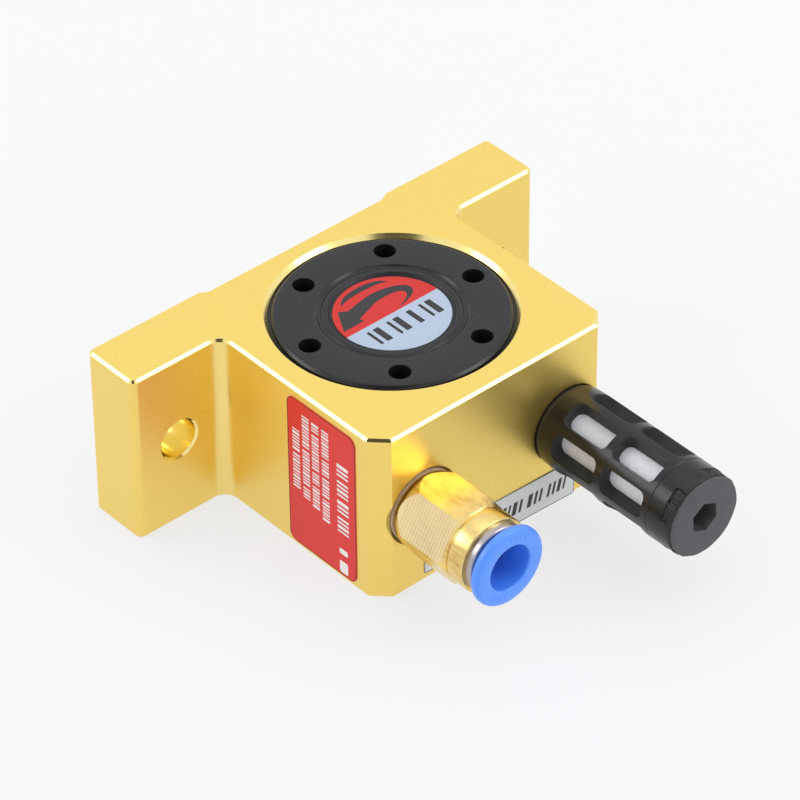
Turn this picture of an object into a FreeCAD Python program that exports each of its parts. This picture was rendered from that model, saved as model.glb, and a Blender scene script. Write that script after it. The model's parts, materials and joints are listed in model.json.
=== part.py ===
import FreeCAD, Part
import math
import os

# Air turbine vibrator: a square aluminium block with two bolt lugs, a turbine rotor on two ball
# bearings between screwed covers, a push-in tube fitting on the inlet and a silencer on the exhaust.
# Frame: origin at the centre of the two bolt holes on the mounting face. +X along the lugs,
# +Y out of the mounting face, +Z up along the rotor's axis. The ports face -Y. Millimetres.

V = FreeCAD.Vector
Z_AXIS = V(0, 0, 1)

# Driving dimensions: housing
PLATE_LENGTH = 86.0
PLATE_THICKNESS = 11.5
BLOCK_WIDTH = 49.5
DEPTH = 49.5
HEIGHT = 32.5
HOLE_SPACING = 68.0
HOLE_RADIUS = 3.5
HOLE_CHAMFER = 0.35
FRONT_CORNER_CHAMFER = 2.8
LUG_INNER_FILLET = 2.6
LUG_OUTER_FILLET = 1.2
EDGE_CHAMFER = 0.45
RELIEF_WIDTH = 37.2
RELIEF_DEPTH = 0.85
RELIEF_RAMP = 1.6

HALF_HEIGHT = HEIGHT / 2
ROTOR_Y = -DEPTH / 2

# Driving dimensions: bore, screwed covers and turbine chamber
BORE_RADIUS = 20.0
BORE_MOUTH_CHAMFER = 0.7
BORE_SHOULDER_Z = 8.0
CHAMBER_RADIUS = 15.3
THREAD_PITCH = 1.0
THREAD_DEPTH = 0.45
THREAD_TURNS = 6
GROOVE_SHARE = 0.42
RIDGE_SHARE = 0.38
THREAD_FIRST_Z = 14.8
THREAD_CLEARANCE = 0.05

COVER_TOP_Z = HALF_HEIGHT - 0.05
COVER_RIM_RADIUS = 19.6
COVER_RIM_HEIGHT = 1.0
COVER_BEVEL = 0.6
COVER_SPIGOT_RADIUS = CHAMBER_RADIUS - 0.03
COVER_SPIGOT_Z = 6.4
SPANNER_HOLES = 6
SPANNER_HOLE_RADIUS = 1.85
SPANNER_HOLE_CIRCLE = 15.9
SPANNER_HOLE_DEPTH = 4.0
SPANNER_HOLE_ANGLE = -7.0
GROOVE_OUTER_RADIUS = 12.5
GROOVE_FLOOR_RADIUS = 12.0
GROOVE_INNER_RADIUS = 11.6
GROOVE_DEPTH = 0.5
BOSS_RING_RADIUS = 11.2
BOSS_RING_INNER_RADIUS = 10.5
BOSS_RING_DROP = 0.15
LABEL_RECESS_RADIUS = 10.1
LABEL_RECESS_DEPTH = 0.65
O_RING_GROOVE = (16.6, 18.8, 1.3)
O_RING_RADIUS = 17.7
O_RING_CORD = 0.62
FIT_GAP = 0.02
REACH = 1.0

# Driving dimensions: ball bearings of 8 x 22 x 7
BEARING_BORE_RADIUS = 4.0
BEARING_OUTER_RADIUS = 11.0
BEARING_WIDTH = 7.0
BEARING_INNER_FACE_Z = 6.0
BEARING_CHAMFER = 0.3
INNER_RING_SHOULDER_RADIUS = 6.05
OUTER_RING_SHOULDER_RADIUS = 9.05
BALL_COUNT = 7
BALL_CIRCLE_RADIUS = 7.5
BALL_RADIUS = 1.95
RACEWAY_RADIUS = 2.08
CAGE_POCKET_RADIUS = 2.05
CAGE_RADII = (6.9, 8.1)
CAGE_SPAN = (-1.0, 2.8)
SHIELD_POSITION = 3.1
SHIELD_THICKNESS = 0.25
SHIELD_INNER_RADIUS = 6.35
WAVE_WASHER_GAP = 0.5
BEARING_TOP_Z = BEARING_INNER_FACE_Z + BEARING_WIDTH

# Driving dimensions: rotor
ROTOR_RADIUS = 14.9
ROTOR_HALF_HEIGHT = 5.5
ROTOR_HUB_RADIUS = 5.8
BUCKET_COUNT = 20
BUCKET_DEPTH = 2.6
BUCKET_HALF_HEIGHT = 3.6
BUCKET_SWEEP = 15.0
WEIGHT_RADIUS = 2.3
WEIGHT_CIRCLE_RADIUS = 9.2
WEIGHT_ANGLES = (-45.0, 0.0, 45.0)
SHAFT_RADIUS = BEARING_BORE_RADIUS - 0.01
SHAFT_HALF_LENGTH = 12.9

# Driving dimensions: ports, with G 1/4 threads
PORT_X = 15.5
PORT_Z = -0.45
INLET_X = -PORT_X
EXHAUST_X = PORT_X
PORT_RADIUS = 6.6
PORT_DEPTH = 11.0
PORT_CHAMFER = 0.5
NOZZLE_X = -13.2
NOZZLE_RADIUS = 1.2
EXHAUST_PASSAGE_X = 12.5
EXHAUST_PASSAGE_RADIUS = 3.5
PASSAGE_LENGTH = 8.0
STUD_RADIUS = PORT_RADIUS - 0.03
STUD_LENGTH = 10.0
STUD_BEVEL = 0.6
PIPE_PITCH = 1.34
PIPE_THREAD_DEPTH = 0.6

# Driving dimensions: push-in fitting for 8 mm tube. Positions are distances out from the port face
HEX_ACROSS_FLATS = 13.4
HEX_START = 1.9
HEX_END = 12.7
HEX_REAR_CHAMFER = 1.9
HEX_FRONT_CHAMFER = 0.65
COLLAR_RADIUS = 6.75
COLLAR_END = 16.5
COLLAR_BEVEL = 0.25
SEALANT_CORE_RADIUS = 6.1
SEALANT_START = -6.5
SEALANT_NECK_RADIUS = 6.3
SEALANT_BEAD_START = 1.3
AIR_WAY_RADIUS = 3.0
TUBE_SEAT_RADIUS = 4.05
TUBE_SEAT_DEPTH = 4.0
CARTRIDGE_RADIUS = 5.85
CARTRIDGE_START = 7.9
GUIDE_RING_START = 11.3
GUIDE_RING_RADIUS = 6.1
GUIDE_RING_END = 17.85
GUIDE_RING_BORE_RADIUS = 4.95
COLLET_RADIUS = 4.88
COLLET_BORE_RADIUS = 4.1
COLLET_NOSE_START = 12.1
COLLET_BARB_END = 13.4
COLLET_BARB_RADIUS = 5.25
COLLET_FLANGE_RADIUS = 7.1
COLLET_FLANGE_START = 18.8
COLLET_END = 20.5
COLLET_LIP = 0.55
COLLET_SLOTS = 4
COLLET_SLOT_WIDTH = 0.7
COLLET_SLOT_DEPTH = 4.0
CLAW_COUNT = 12

# Driving dimensions: silencer. Positions are distances out from the port face
CAGE_RADIUS = 7.4
CAGE_NECK_RADIUS = 6.9
CAGE_BORE_RADIUS = 5.05
CAGE_FLARE_END = 2.4
SILENCER_WAY_RADIUS = 4.6
WINDOW_COUNT = 7
WINDOW_ANGLE = 38.0
WINDOW_CORNER = 1.1
WINDOW_ROWS = ((4.2, 13.9), (15.4, 24.8))
FIRST_RIB_ANGLE = 90.0
SEAM_POSITION = 26.0
CAGE_END = 31.3
CAGE_END_BEVEL = 0.25
SEAM_DEPTH = 0.15
CAP_SEAT_START = 28.9
CAP_SEAT_RADIUS = 6.8
CAP_RIM_RADIUS = 7.1
CAP_END = 31.9
CAP_BEVEL = 0.2
CAP_CLEARANCE = 0.03
NOTCH_COUNT = 4
NOTCH_ANGLE = 48.0
NOTCH_FIRST_ANGLE = 53.0
NOTCH_START = 29.1
LUG_RADIUS = 7.15
LUG_START = 29.3
LUG_ANGLE = 46.0
ELEMENT_RADII = (3.2, 5.0)
ELEMENT_SPAN = (1.5, 26.6)
SOCKET_ACROSS_FLATS = 4.9
SOCKET_DEPTH = 4.0
SOCKET_ANGLE = 35.0

# Driving dimensions: labels
LABEL_THICKNESS = 0.12
ROUND_LABEL_RADIUS = 9.65
SIDE_LABEL = {"width": 16.3, "height": 29.7, "y": -35.85, "z": -0.45, "corner": 1.6}
FRONT_LABEL = {"width": 32.7, "height": 7.0, "x": 1.05, "z": -11.9, "corner": 0.3, "tilt": 2.3}


def turned(points):
    """Solid of revolution about local Z from an outline of (radius, height) points."""
    corners = [V(radius, 0, height) for radius, height in points]
    outline = Part.makePolygon(corners + corners[:1])
    return Part.Face(outline).revolve(V(0, 0, 0), Z_AXIS, 360)


def turned_between(inner, outer, low, high):
    """Plain ring, or a disc when the inner radius is 0."""
    ring = Part.makeCylinder(outer, high - low, V(0, 0, low))
    if inner > 0:
        ring = ring.cut(Part.makeCylinder(inner, high - low, V(0, 0, low)))
    return ring


def chamfered_ring(inner, outer, low, high, chamfer):
    """Ring whose four circular edges are chamfered."""
    return turned([(inner + chamfer, low), (outer - chamfer, low), (outer, low + chamfer),
                   (outer, high - chamfer), (outer - chamfer, high), (inner + chamfer, high),
                   (inner, high - chamfer), (inner, low + chamfer)])


def torus(circle_radius, cord_radius, height):
    return Part.makeTorus(circle_radius, cord_radius, V(0, 0, height))


def sector(inner, outer, low, high, angle):
    """Part of a ring that spans an angle, centred on local X."""
    corners = [V(inner, 0, low), V(outer, 0, low), V(outer, 0, high), V(inner, 0, high)]
    face = Part.Face(Part.makePolygon(corners + corners[:1]))
    return spun(face.revolve(V(0, 0, 0), Z_AXIS, angle), -angle / 2)


def joined(shapes):
    return shapes[0].multiFuse(shapes[1:]) if len(shapes) > 1 else shapes[0]


def spun(shape, angle):
    """Copy of a shape turned about local Z by an angle in degrees."""
    copy = shape.copy()
    copy.rotate(V(0, 0, 0), Z_AXIS, angle)
    return copy


def spaced_round(shape, count, first_angle=0.0):
    return [spun(shape, first_angle + index * 360.0 / count) for index in range(count)]


def hexagon(across_flats, low, high, corner_angle=0.0):
    """Hexagonal prism with a corner at the given angle."""
    radius = across_flats / math.sqrt(3)
    corners = []
    for index in range(7):
        angle = math.radians(corner_angle + 60 * index)
        corners.append(V(radius * math.cos(angle), radius * math.sin(angle), low))
    return Part.Face(Part.makePolygon(corners)).extrude(V(0, 0, high - low))


def groove_rings(surface_radius, tip_radius, half_width, heights):
    """V rings between a cylinder and a tip radius, which stand for the turns of a thread."""
    overlap = 0.01 if tip_radius > surface_radius else -0.01
    base = surface_radius - overlap
    return [turned([(base, height - half_width), (tip_radius, height), (base, height + half_width)])
            for height in heights]


def on_rotor_axis(shape):
    shape.translate(V(0, ROTOR_Y, 0))
    return shape


def flipped(shape):
    """Turned end for end about the X axis, for the lower bearing and cover."""
    shape.rotate(V(0, 0, 0), V(1, 0, 0), 180)
    return shape


def at_port(shape, port_x):
    """Local Z becomes the way out of a port, local Y becomes up."""
    shape.rotate(V(0, 0, 0), V(1, 0, 0), 90)
    shape.translate(V(port_x, -DEPTH, PORT_Z))
    return shape


def vertical_edges_at(solid, x, y):
    """Vertical edges at +x and -x and the given y."""
    found = []
    for edge in solid.Edges:
        centre = edge.CenterOfMass
        upright = abs(edge.BoundBox.ZLength - HEIGHT) < 0.01
        if upright and abs(abs(centre.x) - x) < 0.01 and abs(centre.y - y) < 0.01:
            found.append(edge)
    return found


def relief_cutter():
    """Shallow recess across the middle of the mounting face, with ramped ends."""
    deep = RELIEF_WIDTH / 2
    shallow = deep + RELIEF_RAMP
    corners = [V(-shallow, 0, -HALF_HEIGHT), V(-deep, -RELIEF_DEPTH, -HALF_HEIGHT),
               V(deep, -RELIEF_DEPTH, -HALF_HEIGHT), V(shallow, 0, -HALF_HEIGHT)]
    face = Part.Face(Part.makePolygon(corners + corners[:1]))
    return face.extrude(V(0, 0, HEIGHT))


def housing_blank():
    """T-shaped block with its corners, mounting relief and bevelled top and bottom outline."""
    half_plate = PLATE_LENGTH / 2
    half_block = BLOCK_WIDTH / 2
    plate = Part.makeBox(PLATE_LENGTH, PLATE_THICKNESS, HEIGHT,
                         V(-half_plate, -PLATE_THICKNESS, -HALF_HEIGHT))
    block = Part.makeBox(BLOCK_WIDTH, DEPTH - 1, HEIGHT, V(-half_block, -DEPTH, -HALF_HEIGHT))
    blank = plate.fuse(block).removeSplitter()
    blank = blank.cut(relief_cutter())
    blank = blank.makeChamfer(FRONT_CORNER_CHAMFER, vertical_edges_at(blank, half_block, -DEPTH))
    blank = blank.makeFillet(LUG_INNER_FILLET,
                             vertical_edges_at(blank, half_block, -PLATE_THICKNESS))
    lug_corners = vertical_edges_at(blank, half_plate, 0)
    lug_corners += vertical_edges_at(blank, half_plate, -PLATE_THICKNESS)
    blank = blank.makeFillet(LUG_OUTER_FILLET, lug_corners)
    outline = [edge for edge in blank.Edges
               if edge.BoundBox.ZLength < 0.01 and abs(abs(edge.CenterOfMass.z) - HALF_HEIGHT) < 0.01]
    return blank.makeChamfer(EDGE_CHAMFER, outline)


def bolt_hole_cutter():
    """Through hole along Y with both mouths chamfered."""
    wide = HOLE_RADIUS + HOLE_CHAMFER + REACH
    cutter = turned([(0, -REACH), (wide, -REACH), (HOLE_RADIUS, HOLE_CHAMFER),
                     (HOLE_RADIUS, PLATE_THICKNESS - HOLE_CHAMFER),
                     (wide, PLATE_THICKNESS + REACH), (0, PLATE_THICKNESS + REACH)])
    cutter.rotate(V(0, 0, 0), V(1, 0, 0), 90)
    return cutter


def bore_cutter():
    """Chamber and the two threaded cover bores with chamfered mouths."""
    wide = BORE_RADIUS + BORE_MOUTH_CHAMFER + REACH
    outline = [(0, 0), (CHAMBER_RADIUS, 0), (CHAMBER_RADIUS, BORE_SHOULDER_Z),
               (BORE_RADIUS, BORE_SHOULDER_Z), (BORE_RADIUS, HALF_HEIGHT - BORE_MOUTH_CHAMFER),
               (wide, HALF_HEIGHT + REACH), (0, HALF_HEIGHT + REACH)]
    upper = turned(outline)
    heights = [THREAD_FIRST_Z - turn * THREAD_PITCH for turn in range(THREAD_TURNS)]
    rings = groove_rings(BORE_RADIUS, BORE_RADIUS + THREAD_DEPTH, THREAD_PITCH * GROOVE_SHARE, heights)
    upper = joined([upper] + rings)
    return on_rotor_axis(joined([upper, flipped(upper.copy())]))


def port_cutter(port_x, passage_x, passage_radius):
    """Threaded port with the drilled air way that leads on into the chamber."""
    wide = PORT_RADIUS + PORT_CHAMFER + REACH
    port = turned([(0, -PORT_DEPTH), (PORT_RADIUS, -PORT_DEPTH), (PORT_RADIUS, -PORT_CHAMFER),
                   (wide, REACH), (0, REACH)])
    passage = Part.makeCylinder(passage_radius, PASSAGE_LENGTH,
                                V(passage_x - port_x, 0, -PORT_DEPTH - PASSAGE_LENGTH))
    return at_port(joined([port, passage]), port_x)


def housing():
    body = housing_blank()
    for side in (-1, 1):
        hole = bolt_hole_cutter()
        hole.translate(V(side * HOLE_SPACING / 2, 0, 0))
        body = body.cut(hole)
    body = body.cut(bore_cutter())
    body = body.cut(port_cutter(INLET_X, NOZZLE_X, NOZZLE_RADIUS))
    return body.cut(port_cutter(EXHAUST_X, EXHAUST_PASSAGE_X, EXHAUST_PASSAGE_RADIUS))


def cover(pocket_floor_z):
    """Screwed end cover with a label recess, spanner holes and a bearing pocket underneath."""
    boss_top = COVER_TOP_Z - BOSS_RING_DROP
    recess_floor = COVER_TOP_Z - LABEL_RECESS_DEPTH
    groove_floor = COVER_TOP_Z - GROOVE_DEPTH
    rim_foot = COVER_TOP_Z - COVER_RIM_HEIGHT
    core_radius = BORE_RADIUS - THREAD_CLEARANCE
    groove_in, groove_out, groove_deep = O_RING_GROOVE
    body = turned([
        (0, recess_floor), (LABEL_RECESS_RADIUS, recess_floor), (BOSS_RING_INNER_RADIUS, boss_top),
        (BOSS_RING_RADIUS, boss_top), (GROOVE_INNER_RADIUS, groove_floor),
        (GROOVE_FLOOR_RADIUS, groove_floor), (GROOVE_OUTER_RADIUS, COVER_TOP_Z),
        (COVER_RIM_RADIUS - COVER_BEVEL, COVER_TOP_Z),
        (COVER_RIM_RADIUS, COVER_TOP_Z - COVER_BEVEL), (COVER_RIM_RADIUS, rim_foot),
        (core_radius, rim_foot), (core_radius, BORE_SHOULDER_Z), (groove_out, BORE_SHOULDER_Z),
        (groove_out, BORE_SHOULDER_Z + groove_deep), (groove_in, BORE_SHOULDER_Z + groove_deep),
        (groove_in, BORE_SHOULDER_Z), (COVER_SPIGOT_RADIUS, BORE_SHOULDER_Z),
        (COVER_SPIGOT_RADIUS, COVER_SPIGOT_Z), (BEARING_OUTER_RADIUS, COVER_SPIGOT_Z),
        (BEARING_OUTER_RADIUS, pocket_floor_z), (0, pocket_floor_z)])
    heights = [THREAD_FIRST_Z - turn * THREAD_PITCH for turn in range(THREAD_TURNS)]
    rings = groove_rings(core_radius, core_radius + THREAD_DEPTH, THREAD_PITCH * RIDGE_SHARE,
                         heights)
    body = joined([body] + rings)
    hole = Part.makeCylinder(SPANNER_HOLE_RADIUS, SPANNER_HOLE_DEPTH + REACH,
                             V(SPANNER_HOLE_CIRCLE, 0, COVER_TOP_Z - SPANNER_HOLE_DEPTH))
    for cutter in spaced_round(hole, SPANNER_HOLES, SPANNER_HOLE_ANGLE):
        body = body.cut(cutter)
    return body


def cover_o_ring():
    return torus(O_RING_RADIUS, O_RING_CORD, BORE_SHOULDER_Z + O_RING_CORD + FIT_GAP)


def raceway():
    return torus(BALL_CIRCLE_RADIUS, RACEWAY_RADIUS, 0)


def bearing_outer_ring():
    half = BEARING_WIDTH / 2
    ring = chamfered_ring(OUTER_RING_SHOULDER_RADIUS, BEARING_OUTER_RADIUS, -half, half,
                          BEARING_CHAMFER)
    return ring.cut(raceway())


def bearing_inner_ring():
    half = BEARING_WIDTH / 2
    ring = chamfered_ring(BEARING_BORE_RADIUS, INNER_RING_SHOULDER_RADIUS, -half, half,
                          BEARING_CHAMFER)
    return ring.cut(raceway())


def bearing_balls():
    ball = Part.makeSphere(BALL_RADIUS, V(BALL_CIRCLE_RADIUS, 0, 0))
    return Part.makeCompound(spaced_round(ball, BALL_COUNT))


def bearing_cage():
    """Crown cage: a band with a round pocket for each ball."""
    band = turned_between(CAGE_RADII[0], CAGE_RADII[1], CAGE_SPAN[0], CAGE_SPAN[1])
    pocket = Part.makeSphere(CAGE_POCKET_RADIUS, V(BALL_CIRCLE_RADIUS, 0, 0))
    for cutter in spaced_round(pocket, BALL_COUNT):
        band = band.cut(cutter)
    return band


def bearing_shields():
    """Thin discs held in the outer ring, one on each side of the balls."""
    discs = []
    for low in (SHIELD_POSITION, -SHIELD_POSITION - SHIELD_THICKNESS):
        discs.append(turned_between(SHIELD_INNER_RADIUS, OUTER_RING_SHOULDER_RADIUS, low,
                                    low + SHIELD_THICKNESS))
    return Part.makeCompound(discs)


def in_upper_bearing(shape):
    shape.translate(V(0, 0, BEARING_INNER_FACE_Z + BEARING_WIDTH / 2))
    return on_rotor_axis(shape)


def in_lower_bearing(shape):
    flipped(shape)
    shape.translate(V(0, 0, -BEARING_INNER_FACE_Z - BEARING_WIDTH / 2))
    return on_rotor_axis(shape)


def preload_washer():
    """Thin spring washer that takes the play out of the bearings, drawn pressed flat."""
    inner = OUTER_RING_SHOULDER_RADIUS
    outer = BEARING_OUTER_RADIUS - 0.2
    margin = 0.05
    washer = turned_between(inner, outer, BEARING_TOP_Z + margin,
                            BEARING_TOP_Z + WAVE_WASHER_GAP - margin)
    return on_rotor_axis(washer)


def bucket_cutter():
    """One turbine bucket: a steep face, then a long ramp back out to the rim."""
    outside = ROTOR_RADIUS + REACH
    floor = ROTOR_RADIUS - BUCKET_DEPTH
    floor_rise = 0.2
    points = []
    for radius, angle in ((outside, 0.0), (floor, 0.0), (floor + floor_rise, BUCKET_SWEEP / 4),
                          (outside, BUCKET_SWEEP)):
        bearing = math.radians(angle)
        points.append(V(radius * math.cos(bearing), radius * math.sin(bearing),
                        -BUCKET_HALF_HEIGHT))
    face = Part.Face(Part.makePolygon(points + points[:1]))
    return face.extrude(V(0, 0, 2 * BUCKET_HALF_HEIGHT))


def weight_hole(angle):
    hole = Part.makeCylinder(WEIGHT_RADIUS, 2 * ROTOR_HALF_HEIGHT,
                             V(WEIGHT_CIRCLE_RADIUS, 0, -ROTOR_HALF_HEIGHT))
    return spun(hole, angle)


def turbine_rotor():
    """Disc with buckets in its rim, filled holes on its heavy side and empty ones opposite."""
    hub_end = BEARING_INNER_FACE_Z
    body = turned([(BEARING_BORE_RADIUS, -hub_end), (ROTOR_HUB_RADIUS, -hub_end),
                   (ROTOR_HUB_RADIUS, -ROTOR_HALF_HEIGHT), (ROTOR_RADIUS, -ROTOR_HALF_HEIGHT),
                   (ROTOR_RADIUS, ROTOR_HALF_HEIGHT), (ROTOR_HUB_RADIUS, ROTOR_HALF_HEIGHT),
                   (ROTOR_HUB_RADIUS, hub_end), (BEARING_BORE_RADIUS, hub_end)])
    for cutter in spaced_round(bucket_cutter(), BUCKET_COUNT):
        body = body.cut(cutter)
    for angle in WEIGHT_ANGLES:
        body = body.cut(weight_hole(angle))
        body = body.cut(weight_hole(angle + 180))
    return on_rotor_axis(body)


def unbalance_weights():
    return on_rotor_axis(Part.makeCompound([weight_hole(angle) for angle in WEIGHT_ANGLES]))


def rotor_shaft():
    end = SHAFT_HALF_LENGTH
    bevel = 0.4
    shaft = turned([(0, -end), (SHAFT_RADIUS - bevel, -end), (SHAFT_RADIUS, bevel - end),
                    (SHAFT_RADIUS, end - bevel), (SHAFT_RADIUS - bevel, end), (0, end)])
    return on_rotor_axis(shaft)


def pipe_thread_cutters(low, high):
    """V rings that cut the turns of a pipe thread into a stud."""
    turns = int((high - low) / PIPE_PITCH)
    heights = [low + (turn + 0.5) * PIPE_PITCH for turn in range(turns)]
    half_width = PIPE_PITCH * GROOVE_SHARE
    return groove_rings(STUD_RADIUS, STUD_RADIUS - PIPE_THREAD_DEPTH, half_width, heights)


def hex_nut_blank():
    """Hexagon whose corners are turned back to a cone at both ends."""
    corner = HEX_ACROSS_FLATS / math.sqrt(3)
    flat = HEX_ACROSS_FLATS / 2
    rim = 0.1
    envelope = turned([(0, HEX_START), (flat - rim, HEX_START),
                       (corner, HEX_START + HEX_REAR_CHAMFER), (corner, HEX_END - HEX_FRONT_CHAMFER),
                       (flat - rim, HEX_END), (0, HEX_END)])
    return hexagon(HEX_ACROSS_FLATS, HEX_START, HEX_END).common(envelope)


def fitting_body():
    """Brass body: threaded stud, hexagon and round collar around the tube seat and cartridge."""
    seat_start = CARTRIDGE_START - TUBE_SEAT_DEPTH
    collar_start = HEX_END - 0.5
    stud = turned([(0, -STUD_LENGTH), (STUD_RADIUS - STUD_BEVEL, -STUD_LENGTH),
                   (STUD_RADIUS, -STUD_LENGTH + STUD_BEVEL), (STUD_RADIUS, SEALANT_START),
                   (SEALANT_CORE_RADIUS, SEALANT_START), (SEALANT_CORE_RADIUS, HEX_START),
                   (0, HEX_START)])
    for cutter in pipe_thread_cutters(-STUD_LENGTH + STUD_BEVEL, SEALANT_START):
        stud = stud.cut(cutter)
    collar = turned([(0, collar_start), (COLLAR_RADIUS, collar_start),
                     (COLLAR_RADIUS, COLLAR_END - COLLAR_BEVEL),
                     (COLLAR_RADIUS - COLLAR_BEVEL, COLLAR_END), (0, COLLAR_END)])
    way = turned([(0, -STUD_LENGTH - REACH), (AIR_WAY_RADIUS, -STUD_LENGTH - REACH),
                  (AIR_WAY_RADIUS, seat_start), (TUBE_SEAT_RADIUS, seat_start),
                  (TUBE_SEAT_RADIUS, CARTRIDGE_START), (CARTRIDGE_RADIUS, CARTRIDGE_START),
                  (CARTRIDGE_RADIUS, COLLAR_END + REACH), (0, COLLAR_END + REACH)])
    return at_port(joined([stud, hex_nut_blank(), collar]).cut(way), INLET_X)


def thread_sealant():
    """Sealant coat on the last turns of the stud, pushed up into a bead behind the hexagon."""
    coat = turned([(SEALANT_CORE_RADIUS, SEALANT_START), (STUD_RADIUS, SEALANT_START),
                   (STUD_RADIUS, 0), (SEALANT_NECK_RADIUS, 0),
                   (SEALANT_NECK_RADIUS, SEALANT_BEAD_START), (STUD_RADIUS, SEALANT_BEAD_START),
                   (STUD_RADIUS, HEX_START), (SEALANT_CORE_RADIUS, HEX_START)])
    return at_port(coat, INLET_X)


def tube_seal():
    """Lip ring that seals on the tube."""
    low = CARTRIDGE_START + FIT_GAP
    width = 1.9
    bevel = 0.6
    seal = chamfered_ring(TUBE_SEAT_RADIUS, CARTRIDGE_RADIUS - FIT_GAP, low, low + width, bevel)
    return at_port(seal, INLET_X)


def grab_ring():
    """Spring steel ring whose inward claws bite the tube."""
    flat = GUIDE_RING_START - FIT_GAP
    outer_radius = CARTRIDGE_RADIUS - FIT_GAP
    sheet = 0.3
    tip_radius = 4.15
    bend_radius = 5.0
    rise = 0.8
    gap = 0.5
    ring = turned([(bend_radius, flat), (outer_radius, flat), (outer_radius, flat - sheet),
                   (bend_radius, flat - sheet), (tip_radius, flat - sheet - rise),
                   (tip_radius, flat - rise)])
    slot = Part.makeBox(bend_radius - tip_radius + gap, gap, 2 * rise + sheet,
                        V(tip_radius - gap / 2, -gap / 2, flat - 2 * rise))
    for cutter in spaced_round(slot, CLAW_COUNT):
        ring = ring.cut(cutter)
    return at_port(ring, INLET_X)


def guide_ring():
    """Plated ring pressed into the body, which keeps the collet in."""
    recess = COLLET_BARB_RADIUS + 0.12
    shoulder = COLLET_BARB_END + 0.1
    bevel = 0.2
    fit_radius = CARTRIDGE_RADIUS - FIT_GAP
    ring = turned([(recess, GUIDE_RING_START), (fit_radius, GUIDE_RING_START),
                   (fit_radius, COLLAR_END), (GUIDE_RING_RADIUS, COLLAR_END),
                   (GUIDE_RING_RADIUS, GUIDE_RING_END - bevel),
                   (GUIDE_RING_RADIUS - bevel, GUIDE_RING_END),
                   (GUIDE_RING_BORE_RADIUS, GUIDE_RING_END), (GUIDE_RING_BORE_RADIUS, shoulder),
                   (recess, shoulder)])
    return at_port(ring, INLET_X)


def release_collet():
    """Pressed in to let the tube go: slotted barrel with a barbed nose and an outer flange."""
    lip_edge = COLLET_FLANGE_RADIUS - COLLET_LIP
    nose_bevel = 0.2
    barb_rise = 0.6
    body = turned([(COLLET_BORE_RADIUS, COLLET_NOSE_START),
                   (COLLET_RADIUS - nose_bevel, COLLET_NOSE_START),
                   (COLLET_BARB_RADIUS, COLLET_NOSE_START + barb_rise),
                   (COLLET_BARB_RADIUS, COLLET_BARB_END), (COLLET_RADIUS, COLLET_BARB_END),
                   (COLLET_RADIUS, COLLET_FLANGE_START), (lip_edge, COLLET_FLANGE_START),
                   (COLLET_FLANGE_RADIUS, COLLET_FLANGE_START + COLLET_LIP),
                   (COLLET_FLANGE_RADIUS, COLLET_END - COLLET_LIP), (lip_edge, COLLET_END),
                   (COLLET_BORE_RADIUS + COLLET_LIP, COLLET_END),
                   (COLLET_BORE_RADIUS, COLLET_END - COLLET_LIP)])
    slot = Part.makeBox(COLLET_BARB_RADIUS, COLLET_SLOT_WIDTH, COLLET_SLOT_DEPTH + REACH,
                        V(REACH, -COLLET_SLOT_WIDTH / 2, COLLET_NOSE_START - REACH))
    for cutter in spaced_round(slot, COLLET_SLOTS, 45.0):
        body = body.cut(cutter)
    return at_port(body, INLET_X)


def window_cutter(low, high):
    """Wall section with radial sides and rounded corners, cut out between two ribs."""
    inside = CAGE_BORE_RADIUS - REACH
    outside = CAGE_RADIUS + REACH
    block = sector(inside, outside, low, high, WINDOW_ANGLE)
    radial = [edge for edge in block.Edges if abs(edge.Length - (outside - inside)) < 0.01]
    return block.makeFillet(WINDOW_CORNER, radial)


def silencer_body():
    """Moulded cage: threaded stud, flared neck, two rows of windows and a notched end ring."""
    body = turned([(SILENCER_WAY_RADIUS, -STUD_LENGTH), (STUD_RADIUS - STUD_BEVEL, -STUD_LENGTH),
                   (STUD_RADIUS, -STUD_LENGTH + STUD_BEVEL), (STUD_RADIUS, 0),
                   (CAGE_NECK_RADIUS, 0), (CAGE_RADIUS, CAGE_FLARE_END),
                   (CAGE_RADIUS, SEAM_POSITION - SEAM_DEPTH),
                   (CAGE_RADIUS - SEAM_DEPTH, SEAM_POSITION),
                   (CAGE_RADIUS, SEAM_POSITION + SEAM_DEPTH), (CAGE_RADIUS, CAGE_END - CAGE_END_BEVEL),
                   (CAGE_RADIUS - CAGE_END_BEVEL, CAGE_END), (CAP_SEAT_RADIUS, CAGE_END),
                   (CAP_SEAT_RADIUS, CAP_SEAT_START), (CAGE_BORE_RADIUS, CAP_SEAT_START),
                   (CAGE_BORE_RADIUS, ELEMENT_SPAN[0]), (SILENCER_WAY_RADIUS, ELEMENT_SPAN[0])])
    for cutter in pipe_thread_cutters(-STUD_LENGTH + STUD_BEVEL, -STUD_BEVEL):
        body = body.cut(cutter)
    first_window = FIRST_RIB_ANGLE + 180.0 / WINDOW_COUNT
    for low, high in WINDOW_ROWS:
        for cutter in spaced_round(window_cutter(low, high), WINDOW_COUNT, first_window):
            body = body.cut(cutter)
    notch = sector(CAP_SEAT_RADIUS - REACH, CAGE_RADIUS + REACH, NOTCH_START, CAGE_END + REACH,
                   NOTCH_ANGLE)
    for cutter in spaced_round(notch, NOTCH_COUNT, NOTCH_FIRST_ANGLE):
        body = body.cut(cutter)
    return at_port(body, EXHAUST_X)


def silencer_element():
    bevel = 0.2
    tube = chamfered_ring(*ELEMENT_RADII, *ELEMENT_SPAN, bevel)
    return at_port(tube, EXHAUST_X)


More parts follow.
